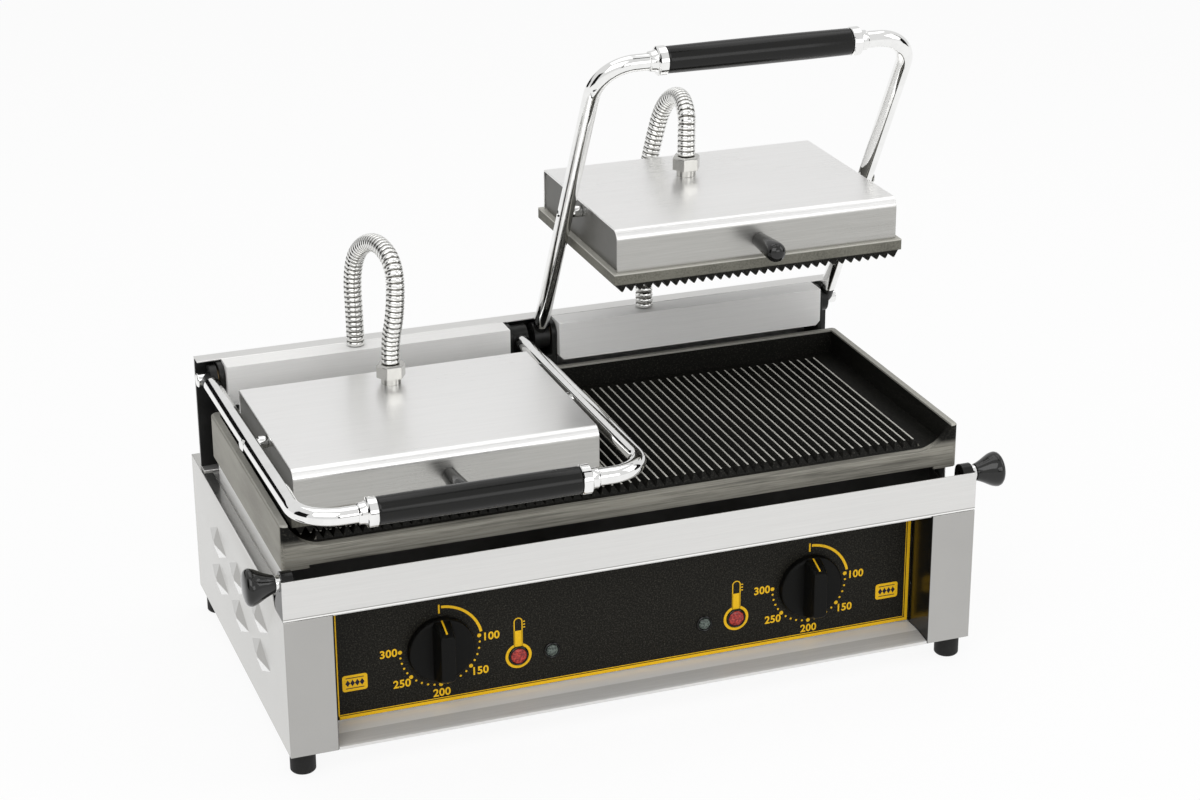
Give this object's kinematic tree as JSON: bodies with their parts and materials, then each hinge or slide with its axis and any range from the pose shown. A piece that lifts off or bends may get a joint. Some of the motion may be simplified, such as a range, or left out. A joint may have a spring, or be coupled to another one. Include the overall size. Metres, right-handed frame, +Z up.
{
  "type": "contact grill",
  "caption": "Contact grill with a ribbed cast lower plate, levelling upper plates on tubular handles, a front juice tray and thermostat dials in a steel casing.",
  "frame": {"origin": "middle of the bounding box, on the surface the feet stand on", "axes": "+X to the right seen from the front, +Y to the back, +Z up"},
  "size_m": [0.6562, 0.399, 0.533],
  "materials": {
    "base_pan": "fine linear brushing",
    "left_side_casing": "fine linear brushing",
    "right_side_casing": "fine linear brushing",
    "front_frame": "fine linear brushing",
    "control_fascia": "black with fine yellow print",
    "back_panel": "fine linear brushing",
    "top_deck": "fine linear brushing",
    "lower_plate": "black enamel, worn grey at the edges",
    "lower_elements": "heat-tinted sheath",
    "heat_shield": "plain sheet",
    "left_rear_cover": "fine linear brushing",
    "right_rear_cover": "fine linear brushing",
    "housing_back": "fine linear brushing",
    "centre_bracket": "black paint, satin",
    "end_brackets": "black paint, satin",
    "hinge_bushes": "plain sintered bronze",
    "counter_springs": "oiled spring steel",
    "conduit_ferrules": "mirror polished",
    "thermostat_bodies": "ceramic-filled moulding",
    "red_lamps": "translucent red lens",
    "small_lamps": "dark lens",
    "terminal_block": "moulded",
    "cable_inlet": "moulded gland",
    "feet": "moulded rubber",
    "left_conduit": "ribbed steel conduit",
    "right_conduit": "ribbed steel conduit",
    "juice_tray": "fine linear brushing",
    "tray_ends": "black phenolic, polished",
    "tray_ferrules": "mirror polished",
    "tray_knobs": "black phenolic, polished",
    "left_thermostat_knob": "black phenolic, polished",
    "left_spindle": "turned",
    "left_handle_bar": "mirror polished",
    "left_grip": "black phenolic, polished",
    "left_collars": "mirror polished",
    "left_hinge_shaft": "mirror polished",
    "left_hubs": "black paint, satin",
    "left_pivot_pins": "mirror polished",
    "left_lid_cover": "fine linear brushing",
    "left_lid_side_plates": "dark grey, satin",
    "left_upper_plate": "black enamel, worn grey at the edges",
    "left_upper_element": "heat-tinted sheath",
    "left_insulation": "mineral fibre board",
    "left_lid_knob": "black phenolic, polished",
    "left_gland": "mirror polished",
    "right_thermostat_knob": "black phenolic, polished",
    "right_spindle": "turned",
    "right_handle_bar": "mirror polished",
    "right_grip": "black phenolic, polished",
    "right_collars": "mirror polished",
    "right_hinge_shaft": "mirror polished",
    "right_hubs": "black paint, satin",
    "right_pivot_pins": "mirror polished",
    "right_lid_cover": "fine linear brushing",
    "right_lid_side_plates": "dark grey, satin",
    "right_upper_plate": "black enamel, worn grey at the edges",
    "right_upper_element": "heat-tinted sheath",
    "right_insulation": "mineral fibre board",
    "right_lid_knob": "black phenolic, polished",
    "right_gland": "mirror polished"
  },
  "bodies": {
    "base": {"base_pan": "base_pan", "left_side_casing": "left_side_casing", "right_side_casing": "right_side_casing", "front_frame": "front_frame", "control_fascia": "control_fascia", "back_panel": "back_panel", "top_deck": "top_deck", "lower_plate": "lower_plate", "lower_elements": "lower_elements", "heat_shield": "heat_shield", "left_rear_cover": "left_rear_cover", "right_rear_cover": "right_rear_cover", "housing_back": "housing_back", "centre_bracket": "centre_bracket", "end_brackets": "end_brackets", "hinge_bushes": "hinge_bushes", "counter_springs": "counter_springs", "conduit_ferrules": "conduit_ferrules", "thermostat_bodies": "thermostat_bodies", "red_lamps": "red_lamps", "small_lamps": "small_lamps", "terminal_block": "terminal_block", "cable_inlet": "cable_inlet", "feet": "feet", "left_conduit": "left_conduit", "right_conduit": "right_conduit"},
    "tray": {"juice_tray": "juice_tray", "tray_ends": "tray_ends", "tray_ferrules": "tray_ferrules", "tray_knobs": "tray_knobs"},
    "left_dial": {"left_thermostat_knob": "left_thermostat_knob", "left_spindle": "left_spindle"},
    "left_arm": {"left_handle_bar": "left_handle_bar", "left_grip": "left_grip", "left_collars": "left_collars", "left_hinge_shaft": "left_hinge_shaft", "left_hubs": "left_hubs", "left_pivot_pins": "left_pivot_pins"},
    "left_lid": {"left_lid_cover": "left_lid_cover", "left_lid_side_plates": "left_lid_side_plates", "left_upper_plate": "left_upper_plate", "left_upper_element": "left_upper_element", "left_insulation": "left_insulation", "left_lid_knob": "left_lid_knob", "left_gland": "left_gland"},
    "right_dial": {"right_thermostat_knob": "right_thermostat_knob", "right_spindle": "right_spindle"},
    "right_arm": {"right_handle_bar": "right_handle_bar", "right_grip": "right_grip", "right_collars": "right_collars", "right_hinge_shaft": "right_hinge_shaft", "right_hubs": "right_hubs", "right_pivot_pins": "right_pivot_pins"},
    "right_lid": {"right_lid_cover": "right_lid_cover", "right_lid_side_plates": "right_lid_side_plates", "right_upper_plate": "right_upper_plate", "right_upper_element": "right_upper_element", "right_insulation": "right_insulation", "right_lid_knob": "right_lid_knob", "right_gland": "right_gland"}
  },
  "joints": [
    {"name": "tray_slide", "type": "slide", "parent": "base", "child": "tray", "axis": [0, -1, 0], "range_m": [0, 0.055]},
    {"name": "left_dial_turn", "type": "hinge", "parent": "base", "child": "left_dial", "pos_m": [-0.164, -0.11453, 0.077], "axis": [0, 1, 0], "range_deg": [0, 285]},
    {"name": "left_arm_hinge", "type": "hinge", "parent": "base", "child": "left_arm", "pos_m": [-0.15, 0.13947, 0.235], "axis": [-1, 0, 0], "range_deg": [0, 60], "deforming": ["left_conduit"]},
    {"name": "left_lid_level", "type": "hinge", "parent": "left_arm", "child": "left_lid", "pos_m": [-0.15, -0.0185, 0.23776], "axis": [-1, 0, 0], "range_deg": [-60, 0]},
    {"name": "right_dial_turn", "type": "hinge", "parent": "base", "child": "right_dial", "pos_m": [0.164, -0.11453, 0.077], "axis": [0, 1, 0], "range_deg": [0, 285]},
    {"name": "right_arm_hinge", "type": "hinge", "parent": "base", "child": "right_arm", "pos_m": [0.15, 0.13947, 0.235], "axis": [-1, 0, 0], "range_deg": [-60, 0], "deforming": ["right_conduit"]},
    {"name": "right_lid_level", "type": "hinge", "parent": "right_arm", "child": "right_lid", "pos_m": [0.15, 0.06288, 0.37319], "axis": [-1, 0, 0], "range_deg": [0, 60]}
  ],
  "couplings": [
    {"joint": "left_lid_level", "follows": "left_arm_hinge", "ratio": -1},
    {"joint": "right_lid_level", "follows": "right_arm_hinge", "ratio": -1}
  ]
}
